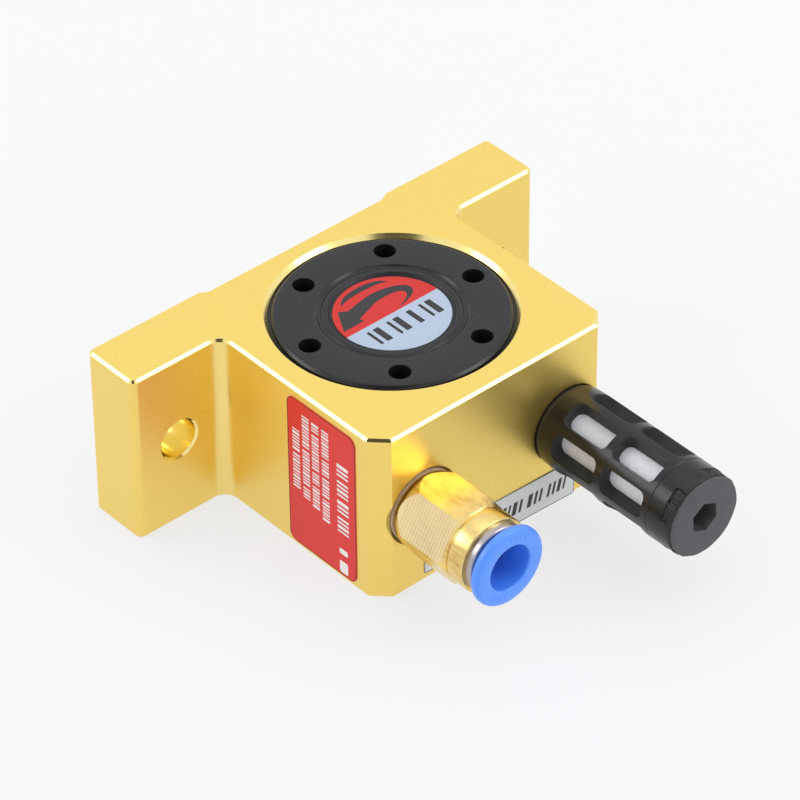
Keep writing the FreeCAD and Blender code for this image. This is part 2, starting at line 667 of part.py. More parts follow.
def silencer_end_cap():
    """Plug with a hexagonal socket, a rim over the cage's end and four lugs in its notches."""
    inner = CAGE_BORE_RADIUS - CAP_CLEARANCE
    seat = CAP_SEAT_RADIUS - CAP_CLEARANCE
    rim_start = CAGE_END + CAP_CLEARANCE
    body = turned([(0, ELEMENT_SPAN[1]), (inner, ELEMENT_SPAN[1]), (inner, CAP_SEAT_START),
                   (seat, CAP_SEAT_START), (seat, rim_start), (CAP_RIM_RADIUS, rim_start),
                   (CAP_RIM_RADIUS, CAP_END - CAP_BEVEL), (CAP_RIM_RADIUS - CAP_BEVEL, CAP_END),
                   (0, CAP_END)])
    lug = sector(CAP_SEAT_RADIUS - REACH, LUG_RADIUS, LUG_START, CAGE_END, LUG_ANGLE)
    lugs = spaced_round(lug, NOTCH_COUNT, NOTCH_FIRST_ANGLE)
    socket = hexagon(SOCKET_ACROSS_FLATS, CAP_END - SOCKET_DEPTH, CAP_END + REACH, SOCKET_ANGLE)
    return at_port(joined([body] + lugs).cut(socket), EXHAUST_X)


def rounded_sheet(width, height, corner):
    """Thin sheet centred on the origin in the XY plane, with round corners."""
    sheet = Part.makeBox(width, height, LABEL_THICKNESS, V(-width / 2, -height / 2, 0))
    edges = [edge for edge in sheet.Edges if abs(edge.BoundBox.ZLength - LABEL_THICKNESS) < 0.01
             and edge.BoundBox.XLength < 0.01 and edge.BoundBox.YLength < 0.01]
    return sheet.makeFillet(corner, edges)


def round_label():
    floor = COVER_TOP_Z - LABEL_RECESS_DEPTH
    return on_rotor_axis(Part.makeCylinder(ROUND_LABEL_RADIUS, LABEL_THICKNESS, V(0, 0, floor)))


def side_label():
    """Red label on the block's left face."""
    sheet = rounded_sheet(SIDE_LABEL["height"], SIDE_LABEL["width"], SIDE_LABEL["corner"])
    sheet.rotate(V(0, 0, 0), V(0, 1, 0), -90)
    sheet.translate(V(-BLOCK_WIDTH / 2, SIDE_LABEL["y"], SIDE_LABEL["z"]))
    return sheet


def front_label():
    """Silver strip under the ports, stuck on slightly askew."""
    sheet = rounded_sheet(FRONT_LABEL["width"], FRONT_LABEL["height"], FRONT_LABEL["corner"])
    sheet.rotate(V(0, 0, 0), Z_AXIS, -FRONT_LABEL["tilt"])
    sheet.rotate(V(0, 0, 0), V(1, 0, 0), 90)
    sheet.translate(V(FRONT_LABEL["x"], -DEPTH, FRONT_LABEL["z"]))
    return sheet


def bearing_nodes(name, place):
    return {
        name + "_bearing_outer_ring": place(bearing_outer_ring()),
        name + "_bearing_inner_ring": place(bearing_inner_ring()),
        name + "_bearing_balls": place(bearing_balls()),
        name + "_bearing_cage": place(bearing_cage()),
        name + "_bearing_shields": place(bearing_shields()),
    }


nodes = {
    "housing": housing(),
    "top_cover": on_rotor_axis(cover(BEARING_TOP_Z + WAVE_WASHER_GAP)),
    "bottom_cover": on_rotor_axis(flipped(cover(BEARING_TOP_Z))),
    "top_cover_o_ring": on_rotor_axis(cover_o_ring()),
    "bottom_cover_o_ring": on_rotor_axis(flipped(cover_o_ring())),
    "bearing_preload_washer": preload_washer(),
    "turbine_rotor": turbine_rotor(),
    "rotor_shaft": rotor_shaft(),
    "unbalance_weights": unbalance_weights(),
    "fitting_body": fitting_body(),
    "fitting_thread_sealant": thread_sealant(),
    "fitting_tube_seal": tube_seal(),
    "fitting_grab_ring": grab_ring(),
    "fitting_guide_ring": guide_ring(),
    "release_collet": release_collet(),
    "silencer_body": silencer_body(),
    "silencer_element": silencer_element(),
    "silencer_end_cap": silencer_end_cap(),
    "rotation_label": round_label(),
    "side_label": side_label(),
    "front_label": front_label(),
}
nodes.update(bearing_nodes("upper", in_upper_bearing))
nodes.update(bearing_nodes("lower", in_lower_bearing))

os.makedirs("parts", exist_ok=True)
for name, shape in nodes.items():
    shape.exportStep("parts/" + name + ".step")
    print(name, "solids", len(shape.Solids), "valid", shape.isValid(), "mm3", round(shape.Volume, 1))
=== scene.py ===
# %% [markdown]
# # An air turbine vibrator
# Compressed air enters a golden aluminium block through a push-in fitting, spins an unbalanced
# rotor inside, and leaves through a plastic silencer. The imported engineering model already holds
# every part at its true size and place. This lesson keeps the parts whose shape is right and gives
# them a finish. It rebuilds the covers, the silencer, the fitting and the prints, whose soft edges
# and tool marks the eye looks for, and it lights the result like a small object in a studio.

# %% Load the frame
import json
import math

import bmesh
import bpy
from mathutils import Matrix, Vector, noise


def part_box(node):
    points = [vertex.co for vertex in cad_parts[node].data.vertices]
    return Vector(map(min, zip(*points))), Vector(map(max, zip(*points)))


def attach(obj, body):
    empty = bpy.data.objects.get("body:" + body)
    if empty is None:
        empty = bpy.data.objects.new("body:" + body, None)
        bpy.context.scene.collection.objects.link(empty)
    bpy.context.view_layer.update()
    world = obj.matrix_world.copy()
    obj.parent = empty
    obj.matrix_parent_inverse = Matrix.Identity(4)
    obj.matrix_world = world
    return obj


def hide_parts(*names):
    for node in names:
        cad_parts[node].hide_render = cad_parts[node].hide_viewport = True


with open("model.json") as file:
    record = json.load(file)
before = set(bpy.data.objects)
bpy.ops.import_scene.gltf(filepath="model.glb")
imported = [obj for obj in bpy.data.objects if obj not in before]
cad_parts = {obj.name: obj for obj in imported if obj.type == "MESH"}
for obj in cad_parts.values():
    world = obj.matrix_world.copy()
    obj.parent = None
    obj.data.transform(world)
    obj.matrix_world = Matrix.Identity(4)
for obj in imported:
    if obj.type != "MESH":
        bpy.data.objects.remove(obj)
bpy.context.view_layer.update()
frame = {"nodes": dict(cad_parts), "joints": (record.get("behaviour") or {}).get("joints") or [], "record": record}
nodes = frame["nodes"]

# %% [markdown]
# ## Places taken from the frame
# All lengths below are written in millimetres, as on a workshop drawing, and MM turns them into
# Blender's metres. The rotor's axis comes from its joint, and the two port axes are the middles of
# the parts that sit on them, so nothing has to be fitted by eye.

# %% Measure the frame
MM = 0.001


def middle(node):
    low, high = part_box(node)
    return (low + high) / 2


joints = {joint["name"]: joint for joint in frame["joints"]}
rotor_axis = Vector(joints["rotor_spin"]["pos_m"]) / MM
housing_low, housing_high = (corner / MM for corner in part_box("housing"))
port_face = housing_low.y
top_face = housing_high.z
inlet = middle("fitting_guide_ring") / MM
exhaust = middle("silencer_element") / MM
port_z = exhaust.z
print("port face", round(port_face, 2), "inlet", round(inlet.x, 2), "exhaust", round(exhaust.x, 2))

# %% [markdown]
# ## Writing shader maths as Python
# A procedural finish is mostly arithmetic on positions: how far is this point from the bore's
# axis, does it lie on a bevel, is it inside a printed bar. Wrapping a socket in a small class lets
# that arithmetic be written with + and *, and each sign adds the Math node that it stands for.

# %% A socket that can be calculated with
class Signal:
    """A number that flows through a material, with Python's arithmetic on it."""

    def __init__(self, finish, socket):
        self.finish = finish
        self.socket = socket

    def maths(self, operation, *values):
        return self.finish.node("ShaderNodeMath", {"operation": operation}, *values)

    def __add__(self, other):
        return self.maths("ADD", self, other)

    def __radd__(self, other):
        return self.maths("ADD", other, self)

    def __sub__(self, other):
        return self.maths("SUBTRACT", self, other)

    def __rsub__(self, other):
        return self.maths("SUBTRACT", other, self)

    def __mul__(self, other):
        return self.maths("MULTIPLY", self, other)

    def __rmul__(self, other):
        return self.maths("MULTIPLY", other, self)

    def __lt__(self, other):
        return self.maths("LESS_THAN", self, other)

    def __gt__(self, other):
        return self.maths("GREATER_THAN", self, other)

    def __abs__(self):
        return self.maths("ABSOLUTE", self)

    def root(self):
        return self.maths("SQRT", self)

    def sine(self):
        return self.maths("SINE", self)

    def either(self, other):
        """The larger of two masks, so a point counts when one of them holds it."""
        return self.maths("MAXIMUM", self, other)

    def ramp(self, low, high):
        """0 below low, 1 above high, and a straight line between."""
        return self.finish.node("ShaderNodeMapRange", {"clamp": True}, self, low, high, 0.0, 1.0)


print("signals ready")

# %% [markdown]
# ## One class for a finish
# A finish is a Principled shader whose constant values are set straight on its sockets, because an
# exporter only understands those. Every other node is made by one method: first its settings, then
# the numbers or signals that feed its inputs in order. Patterns read Object coordinates, which are
# true millimetres on this object once they are multiplied by a thousand.

# %% The finish class
class Finish:
    """A Principled material, with a method that adds any other node."""

    def __init__(self, name, **constants):
        self.material = bpy.data.materials.new(name)
        self.material.use_nodes = True
        self.tree = self.material.node_tree
        self.shader = self.tree.nodes["Principled BSDF"]
        for socket, value in constants.items():
            socket = socket.replace("_", " ")
            self.shader.inputs[socket].default_value = value if isinstance(value, float) else (*value, 1.0)
        self.position = self.node("ShaderNodeVectorMath", {"operation": "SCALE"},
                                  self.raw("ShaderNodeTexCoord", "Object"), scale=1 / MM)

    def raw(self, kind, output):
        node = self.tree.nodes.new(kind)
        return Signal(self, node.outputs[output])

    def node(self, kind, settings, *inputs, output=0, **named):
        """Add a node: set it up, feed its inputs in order or by name, and return one output."""
        node = self.tree.nodes.new(kind)
        for key, value in settings.items():
            setattr(node, key, value)
        sockets = [socket for socket in node.inputs if socket.enabled]
        pairs = list(zip(sockets, inputs))
        pairs += [(next(s for s in sockets if s.name.lower() == key.replace("_", " ")), value)
                  for key, value in named.items()]
        for socket, value in pairs:
            self.feed(socket, value)
        outputs = [socket for socket in node.outputs if socket.enabled]
        return Signal(self, outputs[output])

    def feed(self, socket, value):
        if isinstance(value, Signal):
            self.tree.links.new(value.socket, socket)
        elif socket.type == "RGBA" and len(value) == 3:
            socket.default_value = (*value, 1.0)
        else:
            socket.default_value = value

    def vary(self, socket, value):
        """Let a signal drive one of the shader's own inputs."""
        self.feed(self.shader.inputs[socket], value)

    def axes(self, origin=(0.0, 0.0, 0.0)):
        """x, y and z in millimetres from an origin."""
        moved = self.node("ShaderNodeVectorMath", {"operation": "SUBTRACT"}, self.position, origin)
        return [self.node("ShaderNodeSeparateXYZ", {}, moved, output=index) for index in range(3)]

    def grain(self, per_mm, detail=2.0, stretch=(1.0, 1.0, 1.0)):
        """Soft noise between 0 and 1 with that many lumps to the millimetre."""
        place = self.node("ShaderNodeVectorMath", {"operation": "MULTIPLY"}, self.position, stretch)
        return self.node("ShaderNodeTexNoise", {}, place, scale=per_mm, detail=detail, roughness=0.55)

    def beads(self, per_mm):
        """Distance to the nearest of many scattered points, for pits and sintered grains."""
        return self.node("ShaderNodeTexVoronoi", {}, self.position, scale=per_mm)

    def blend(self, share, first, second):
        """Mix two colours by a signal."""
        return self.node("ShaderNodeMix", {"data_type": "RGBA"}, share, first, second)

    def bump(self, height, depth_mm):
        """Raise the surface by a signal times a depth."""
        self.vary("Normal", self.node("ShaderNodeBump", {}, strength=1.0, distance=depth_mm * MM,
                                      height=height))


print("finishes ready")

# %% [markdown]
# ## Golden anodised aluminium
# The block is milled, blasted with fine beads, cut once more along its edges and bores, and then
# anodised gold. So it has two surfaces: a satin one with a fine grain, and smoother bevels and bores
# that were cut after blasting, which are also given a paler colour as a painted highlight. The bevels
# lie in thin bands just under the top and bottom faces, and the bores lie within a radius of their
# axes, so plain distances tell the two apart. The rounded corners between block and lugs were left
# by the cutter's side and get half of that painted highlight. The port mouths are painted dark brown
# as painted shade round the fitting, which the depth limit keeps off the mounting face.

# %% Gold finish
BEVEL = 0.44
BORE_RADIUS = 20.74
BOLT_HOLE_X, BOLT_HOLE_RADIUS = 34.0, 3.86
PORT_RADIUS, PORT_DEPTH = 7.15, 12.0
LUG_CORNER_X = (24.8, 27.3)
LUG_CORNER_Y = (-14.05, -11.55)


def gold_anodised():
    gold = Finish("gold_anodised", Metallic=1.0, Coat_Roughness=0.3, Coat_IOR=1.5)
    x, y, z = gold.axes()
    bevel = (abs(z) > top_face - BEVEL) * (abs(z) < top_face - 0.005)
    rotor_x, rotor_y, _ = gold.axes(tuple(rotor_axis))
    bore = (rotor_x * rotor_x + rotor_y * rotor_y).root() < BORE_RADIUS
    side_x = abs(x) - BOLT_HOLE_X
    bolt_hole = (side_x * side_x + z * z).root() < BOLT_HOLE_RADIUS
    port_x, port_up = abs(x) - exhaust.x, z - port_z
    port = (port_x * port_x + port_up * port_up).root() < PORT_RADIUS
    # Painted shade round the fitting: the port mouths, down to the depth limit, are darkened brown.
    port_shade = port * (y < port_face + PORT_DEPTH)
    corner = (abs(x) > LUG_CORNER_X[0]) * (abs(x) < LUG_CORNER_X[1])
    corner = corner * (y < LUG_CORNER_Y[1]) * (y > LUG_CORNER_Y[0])
    # Cut bevels, bores and bolt holes are smoother, and their paler colour is a painted highlight; the lug corners
    # get half of it.
    cut_and_highlight = bevel.either(bore).either(bolt_hole).either(0.5 * corner)
    blasting = gold.grain(5.0, 3.0)
    cloud = gold.grain(0.05, 2.0)
    satin = 0.33 + 0.10 * blasting + 0.05 * cloud
    cut = 0.16 + 0.05 * gold.grain(0.8)
    gold.vary("Roughness", satin * (1 - cut_and_highlight) + cut * cut_and_highlight)
    pale = gold.blend(blasting.ramp(0.35, 0.7), (0.89, 0.645, 0.145), (0.96, 0.73, 0.205))
    # The paler colour on the cut surfaces is a painted highlight.
    cut_highlight_colour = gold.blend(cut_and_highlight, pale, (0.96, 0.78, 0.30))
    # The dark brown blend at the port mouths is painted shade.
    gold.vary("Base Color", gold.blend(0.6 * port_shade, cut_highlight_colour, (0.16, 0.085, 0.022)))
    gold.vary("Coat Weight", 0.25 * (1 - cut_and_highlight))
    gold.bump(blasting * (1 - cut_and_highlight), 0.018)
    return gold.material


gold = gold_anodised()
print("made", gold.name)

# %% [markdown]
# ## Black anodised covers
# The screwed covers are turned aluminium with a black anodic layer. It is not a mirror and not
# quite matt: turning left very fine rings, and handling left a few pale specks of dust. The groove
# round the boss and the outer bevel were cut with a finishing pass, so they shine more.

# %% Black finish
GROOVE = (11.1, 12.7)
OUTER_BEVEL = 19.1


def black_anodised():
    black = Finish("black_anodised", Specular_IOR_Level=0.42)
    x, y, _ = black.axes(tuple(rotor_axis))
    radius = (x * x + y * y).root()
    rings = black.node("ShaderNodeTexNoise", {"noise_dimensions": "1D"}, w=radius, scale=3.0, detail=4.0)
    specks = black.beads(0.9) < 0.04
    soft = black.grain(6.0)
    groove = (radius > GROOVE[0]) * (radius < GROOVE[1])
    polished = groove.either(radius > OUTER_BEVEL)
    black.vary("Base Color", black.blend(specks * 0.6, (0.010, 0.010, 0.013), (0.5, 0.5, 0.48)))
    black.vary("Roughness", 0.34 + 0.10 * rings + 0.08 * soft - 0.18 * polished)
    black.bump(rings + 0.5 * soft, 0.012)
    return black.material


black = black_anodised()
print("made", black.name)

# %% [markdown]
# ## Brass, nickel and steel
# The fitting is bare brass from the lathe: bright where the tool ran last, with faint rings round
# its axis and some tarnish in cloudy patches. Every second flat was milled last, and its fresh
# ridges are paler than the rest. The ring behind the blue collar is plated, so it is
# greyer and smoother. The bearings and the shaft inside are ground steel.

# %% Metal finishes
MILLED_SPAN = (1.2, 12.3)


def turned_metal(name, colour, tarnish, rough, ring_depth, turning_axis, milled_paler=False):
    metal = Finish(name, Metallic=1.0)
    along = metal.axes()["xyz".index(turning_axis)]
    rings = metal.node("ShaderNodeTexNoise", {"noise_dimensions": "1D"}, w=along, scale=5.0, detail=3.0)
    cloud = metal.grain(0.25, 4.0)
    scratches = metal.grain(2.2, 3.0, (1.0, 0.12, 1.0))
    worn = metal.blend(cloud.ramp(0.42, 0.75) * scratches.ramp(0.3, 0.6), colour, tarnish)
    if milled_paler:
        x, y, z = metal.axes((inlet.x, port_face, inlet.z))
        angle = metal.node("ShaderNodeMath", {"operation": "ARCTAN2"}, z, x)
        milled = ((3.0 * angle).sine() > 0.0) * (y > -MILLED_SPAN[1]) * (y < -MILLED_SPAN[0])
        worn = metal.blend(0.7 * milled, worn, (0.86, 0.72, 0.46))
    metal.vary("Base Color", worn)
    metal.vary("Roughness", rough + 0.08 * scratches + 0.08 * rings)
    metal.bump(rings + 0.6 * scratches, ring_depth)
    return metal.material


brass = turned_metal("turned_brass", (0.91, 0.68, 0.25), (0.50, 0.30, 0.10), 0.16, 0.010, "y", True)
nickel = turned_metal("nickel_plate", (0.46, 0.43, 0.45), (0.36, 0.34, 0.35), 0.24, 0.004, "y")
steel = turned_metal("bright_steel", (0.60, 0.60, 0.61), (0.48, 0.48, 0.50), 0.22, 0.004, "z")
aluminium = turned_metal("milled_aluminium", (0.80, 0.80, 0.82), (0.68, 0.68, 0.70), 0.30, 0.01, "z")
print("made brass, nickel, steel and aluminium")

# %% [markdown]
# ## Plastics, rubber and the porous tube
# Moulded plastic has a faint orange-peel skin. The silencer's cage is glossy outside, but its
# window walls were left rough by the mould, so the same finish gets stronger lumps inside the
# cage's outer radius. The white tube is made of sintered beads: many tiny round grains, with no
# gloss at all.

# %% Plastic finishes
def moulded(name, colour, second, rough, peel_mm, per_mm=1.2, **constants):
    plastic = Finish(name, **constants)
    peel = plastic.grain(per_mm, 3.0)
    plastic.vary("Base Color", plastic.blend(plastic.grain(0.3, 3.0), colour, second))
    plastic.vary("Roughness", rough + 0.15 * peel)
    plastic.bump(peel, peel_mm)
    return plastic.material


def cage_plastic():
    cage = Finish("black_plastic", Specular_IOR_Level=0.4)
    x, _, z = cage.axes((exhaust.x, 0.0, port_z))
    inner = 1 - (x * x + z * z).root().ramp(7.1, 7.3)
    peel = cage.grain(0.8, 3.0)
    lumps = cage.grain(3.2, 4.0)
    cage.vary("Base Color", cage.blend(inner, (0.010, 0.010, 0.011), (0.040, 0.039, 0.038)))
    cage.vary("Roughness", 0.17 + 0.12 * peel)
    cage.bump(peel * 0.25 + inner * lumps * 4.5, 0.12)
    return cage.material


def sintered():
    porous = Finish("white_porous", Specular_IOR_Level=0.2, Roughness=0.85)
    grains = porous.beads(3.0)
    porous.vary("Base Color", porous.blend(grains.ramp(0.1, 0.6), (0.93, 0.94, 0.97), (0.82, 0.83, 0.88)))
    porous.bump(1 - grains, 0.05)
    return porous.material


blue = moulded("blue_plastic", (0.075, 0.27, 0.95), (0.085, 0.30, 0.98), 0.26, 0.015,
               Coat_Weight=0.3, Coat_Roughness=0.12)
cap_grey = moulded("cap_plastic", (0.058, 0.061, 0.065), (0.088, 0.093, 0.098), 0.46, 0.06, 1.6,
                   Specular_IOR_Level=0.35)
sealant = moulded("thread_sealant", (0.52, 0.36, 0.20), (0.62, 0.50, 0.38), 0.5, 0.05, 2.0)
nylon = moulded("cage_plastic", (0.72, 0.68, 0.55), (0.66, 0.62, 0.50), 0.45, 0.01)
rubber = moulded("black_rubber", (0.018, 0.018, 0.018), (0.026, 0.026, 0.026), 0.62, 0.02)
cage_black = cage_plastic()
white_porous = sintered()
print("made the plastics, the rubber and the porous tube")

# %% [markdown]
# ## Printed films
# The three labels are thin plastic films. Each is a flat sheet with a faint waviness, and the
# marks on it are printed in ink, which is a little flatter in gloss than the film around it.

# %% Film and ink finishes
def film(name, colour, rough=0.28, metallic=0.0):
    sheet = Finish(name, Metallic=metallic, Specular_IOR_Level=0.35)
    wave = sheet.grain(0.25, 2.0)
    fine = sheet.grain(8.0, 2.0)
    darker = tuple(0.9 * channel for channel in colour)
    sheet.vary("Base Color", sheet.blend(fine.ramp(0.3, 0.8), colour, darker))
    sheet.vary("Roughness", rough + 0.1 * fine)
    sheet.bump(wave + 0.1 * fine, 0.03)
    return sheet.material


red_film = film("red_film", (0.72, 0.020, 0.012))
red_edge = film("red_edge_ink", (0.32, 0.012, 0.010))
label_red = film("label_red", (0.62, 0.020, 0.014))
label_pale = film("label_pale", (0.43, 0.51, 0.63))
silver_film = film("silver_film", (0.70, 0.72, 0.71), 0.34, 0.25)
white_ink = film("white_ink", (0.86, 0.82, 0.80), 0.4)
dark_ink = film("dark_ink", (0.030, 0.030, 0.032), 0.42)
print("made the films and inks")

# %% [markdown]
# ## Dressing the engineering model
# The block, the rotor, the bearings and the seals are exact as they come from the engineering
# model, so they only need a finish. One table pairs each material slot of the record with its
# material. The parts that are rebuilt below take theirs from the same finishes.

# %% Give every part of the frame its finish
slot_finish = {
    "gold_anodised": gold, "black_anodised": black, "milled_aluminium": aluminium,
    "bright_steel": steel, "black_rubber": rubber, "cage_plastic": nylon, "turned_brass": brass,
    "thread_sealant": sealant, "nickel_plate": nickel, "blue_plastic": blue,
    "black_plastic": cage_black, "white_porous": white_porous, "cap_plastic": cap_grey,
    "round_label_print": label_red, "red_label_print": red_film, "silver_label_print": silver_film,
}
for part in frame["record"]["subparts"]:
    mesh = nodes[part["node"]].data
    mesh.materials.clear()
    mesh.materials.append(slot_finish[part["material_slot"]])

# %% [markdown]
# ## Workshop helpers
# Round parts are turned: an outline of radius and height is spun about the Z axis, and the corners
# that should be soft are bevelled along their rings. Everything on a port is made upright and then
# tipped over, so that its Z points out of the port.

# %% Turning, rounding and tipping over
def ring_edges(work, radius, height):
    """The edges of the ring at that radius and height."""
    def on_ring(vert):
        reach = math.hypot(vert.co.x, vert.co.y)
        return abs(reach - radius * MM) < 1e-6 and abs(vert.co.z - height * MM) < 1e-6
    return [edge for edge in work.edges if all(on_ring(vert) for vert in edge.verts)]


def turned(outline, steps=96):
    """Spin a closed outline of (radius, height, corner rounding) about Z."""
    work = bmesh.new()
    corners = [work.verts.new((point[0] * MM, 0, point[1] * MM)) for point in outline]
    sides = [work.edges.new(pair) for pair in zip(corners, corners[1:] + corners[:1])]
    bmesh.ops.spin(work, geom=corners + sides, cent=(0, 0, 0), axis=(0, 0, 1),
                   angle=2 * math.pi, steps=steps, use_merge=True)
    bmesh.ops.remove_doubles(work, verts=work.verts, dist=1e-7)
    bmesh.ops.recalc_face_normals(work, faces=work.faces)
    for radius, height, rounding in (point for point in outline if len(point) == 3):
        bmesh.ops.bevel(work, geom=ring_edges(work, radius, height), offset=rounding * MM,
                        offset_type="OFFSET", segments=4, profile=0.5, affect="EDGES", material=-1,
                        clamp_overlap=True)
    return work


def onto_port(work, port):
    """Tip a part over, so that its Z points out of the port with that centre."""
    mouth = Vector((port.x, port_face, port.z)) * MM
    place = Matrix.Translation(mouth) @ Matrix.Rotation(math.pi / 2, 4, "X")
    bmesh.ops.transform(work, matrix=place, verts=work.verts)
    return work


def spun_copies(work, count, first=0.0):
    """The same shape repeated round Z, in one mesh."""
    everything = bmesh.new()
    mesh = bpy.data.meshes.new("copy")
    work.to_mesh(mesh)
    for index in range(count):
        before = len(everything.verts)
        everything.from_mesh(mesh)
        everything.verts.ensure_lookup_table()
        turn = Matrix.Rotation(math.radians(first + 360 * index / count), 4, "Z")
        bmesh.ops.transform(everything, matrix=turn, verts=everything.verts[before:])
    bpy.data.meshes.remove(mesh)
    work.free()
    return everything


print("turning tools ready")

# %% [markdown]
# ## Cutting one shape with another
# Windows, sockets and hexagons are cut as on a milling machine: a Boolean modifier takes the tool
# away from the work, or keeps what both share. The result is read back as a plain mesh, so no
# hidden tools stay in the scene.

# %% Boolean helper and the finished piece
def as_object(work, name):
    mesh = bpy.data.meshes.new(name)
    work.to_mesh(mesh)
    work.free()
    thing = bpy.data.objects.new(name, mesh)
    bpy.context.scene.collection.objects.link(thing)
    return thing


def machined(work, tool, operation="DIFFERENCE"):
    """The work after a cut with the tool, as a new bmesh."""
    body, cutter = as_object(work, "work"), as_object(tool, "tool")
    cut = body.modifiers.new("cut", "BOOLEAN")
    cut.object, cut.operation, cut.solver = cutter, operation, "EXACT"
    result = bmesh.new()
    result.from_object(body, bpy.context.evaluated_depsgraph_get())
    for thing in (body, cutter):
        mesh = thing.data
        bpy.data.objects.remove(thing)
        bpy.data.meshes.remove(mesh)
    bmesh.ops.remove_doubles(result, verts=result.verts, dist=1e-6)
    return result


def finish_piece(work, name, body, material, replaces=(), soft_edge=0.0, smooth_below=35.0):
    """Turn a bmesh into a piece that rides on its body, with softened edges if asked."""
    piece = as_object(work, name)
    mesh = piece.data
    mesh.materials.append(material)
    mesh.polygons.foreach_set("use_smooth", [True] * len(mesh.polygons))
    mesh.set_sharp_from_angle(angle=math.radians(smooth_below))
    if soft_edge:
        bevel = piece.modifiers.new("soft edge", "BEVEL")
        bevel.width = soft_edge * MM
        bevel.segments = 2
        bevel.angle_limit = math.radians(smooth_below)
        bevel.harden_normals = True
    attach(piece, body)
    if replaces:
        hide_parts(*replaces)
    print(name, len(mesh.polygons), "faces")


BLOCK = "block"
print("milling tools ready")

# %% [markdown]
# ## The screwed covers
# Each cover is turned from bar: a rim, a shallow groove round the boss, a recess for the label, a
# thread, and a pocket for the bearing underneath. The corners that the eye meets are rounded here,
# because a rounded corner draws the bright line that a knife edge never shows. Six blind holes
# take a pin spanner. The lower cover is the same part turned over. Its pocket is half a
# millimetre shallower, because the preload washer sits above the upper bearing only.

# %% Turn both covers
COVER_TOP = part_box("top_cover")[1].z / MM
THREAD_CORE = 19.95
THREAD_CREST = 20.4
THREAD_TOP = 14.8
THREAD_TURNS = 6
COVER_FOOT = 8.0
BEARING_RADIUS = 11.0
TOP_POCKET, BOTTOM_POCKET = 13.5, 13.0
PIN_HOLES = 6
PIN_HOLE_FIRST = -7.0
PIN_HOLE_RADIUS = 1.85
PIN_HOLE_CIRCLE = 15.9
PIN_HOLE_DEPTH = 4.0


def cover(pocket):
    """One cover, upright, whose bearing pocket ends at the given height."""
    top = COVER_TOP
    label_seat = [(0, top - 0.65), (10.1, top - 0.65), (10.5, top - 0.15, 0.12)]
    groove = [(11.2, top - 0.15, 0.18), (11.6, top - 0.5, 0.12), (12.0, top - 0.5, 0.12),
              (12.5, top, 0.16)]
    rim = [(19.0, top, 0.25), (19.6, top - 0.6, 0.15), (19.6, top - 1.0), (THREAD_CORE, top - 1.0)]
    thread = []
    for ridge in (THREAD_TOP - turn for turn in range(THREAD_TURNS)):
        thread += [(THREAD_CORE, ridge + 0.38), (THREAD_CREST, ridge), (THREAD_CORE, ridge - 0.38)]
    seal_seat = [(THREAD_CORE, COVER_FOOT), (18.8, COVER_FOOT), (18.8, 9.3), (16.6, 9.3),
                 (16.6, COVER_FOOT), (15.27, COVER_FOOT)]
    bearing_seat = [(15.27, 6.4), (BEARING_RADIUS, 6.4), (BEARING_RADIUS, pocket), (0, pocket)]
    blank = turned(label_seat + groove + rim + thread + seal_seat + bearing_seat, steps=128)
    hole = bmesh.new()
    bmesh.ops.create_cone(hole, cap_ends=True, segments=40, radius1=PIN_HOLE_RADIUS * MM,
                          radius2=PIN_HOLE_RADIUS * MM, depth=2 * PIN_HOLE_DEPTH * MM,
                          matrix=Matrix.Translation(Vector((PIN_HOLE_CIRCLE, 0, top)) * MM))
    return machined(blank, spun_copies(hole, PIN_HOLES, PIN_HOLE_FIRST))


def onto_rotor(work, tilt=0.0):
    """Set a part on the rotor's axis, turned over about X if asked."""
    place = Matrix.Translation((rotor_axis.x * MM, rotor_axis.y * MM, 0)) @ Matrix.Rotation(tilt, 4, "X")
    bmesh.ops.transform(work, matrix=place, verts=work.verts)
    return work


finish_piece(onto_rotor(cover(TOP_POCKET)), "top_cover_turned", BLOCK, black,
             ["top_cover"])
finish_piece(onto_rotor(cover(BOTTOM_POCKET), math.pi), "bottom_cover_turned", BLOCK,
             black, ["bottom_cover"])

# %% [markdown]
# ## The silencer's cage
# One moulding: a threaded stud, a short flared neck, a cage with two rows of seven windows round
# the porous tube, and a closed end ring with four notches. It is turned as a tube first. The window
# tool is a box with rounded corners that narrows towards the axis, so each rib keeps its width.

# %% Cage sizes
STUD_RADIUS = 6.57
STUD_END = -10
CAGE_RADIUS = 7.4
CAGE_BORE = 5.05
CAGE_END = 31.3
STUD_BORE = 4.6
SEAM = 26.0
SEAM_DEPTH = 0.12
WINDOWS = 7
WINDOW_ROWS = ((4.2, 13.9), (15.4, 24.8))
WINDOW_ANGLE = 38.0
WINDOW_CORNER = 1.25
RIB_ANGLE = 90.0
NOTCHES = 4
NOTCH_ANGLE = 48.0
NOTCH_FIRST = 53.0
NOTCH_START = 29.1
CAP_SEAT_RADIUS = 6.8
CAP_SEAT = 28.9
CAP_RIM_RADIUS = 7.1
CAP_END = 31.9


def window_tool():
    """Rounded box that narrows towards the axis, for one window in each row."""
    tool = bmesh.new()
    inside, outside = CAGE_BORE - 1, CAGE_RADIUS + 1
    half = math.tan(math.radians(WINDOW_ANGLE / 2))
    for low, high in WINDOW_ROWS:
        box = bmesh.ops.create_cube(tool, size=1.0)["verts"]
        for vert in box:
            reach = outside if vert.co.x > 0 else inside
            vert.co = Vector((reach, math.copysign(half * reach, vert.co.y),
                              high if vert.co.z > 0 else low)) * MM
    radial = [edge for edge in tool.edges
              if abs(edge.verts[0].co.x - edge.verts[1].co.x) > 1 * MM]
    bmesh.ops.bevel(tool, geom=radial, offset=WINDOW_CORNER * MM, offset_type="OFFSET", segments=7,
                    profile=0.5, affect="EDGES", material=-1)
    return tool


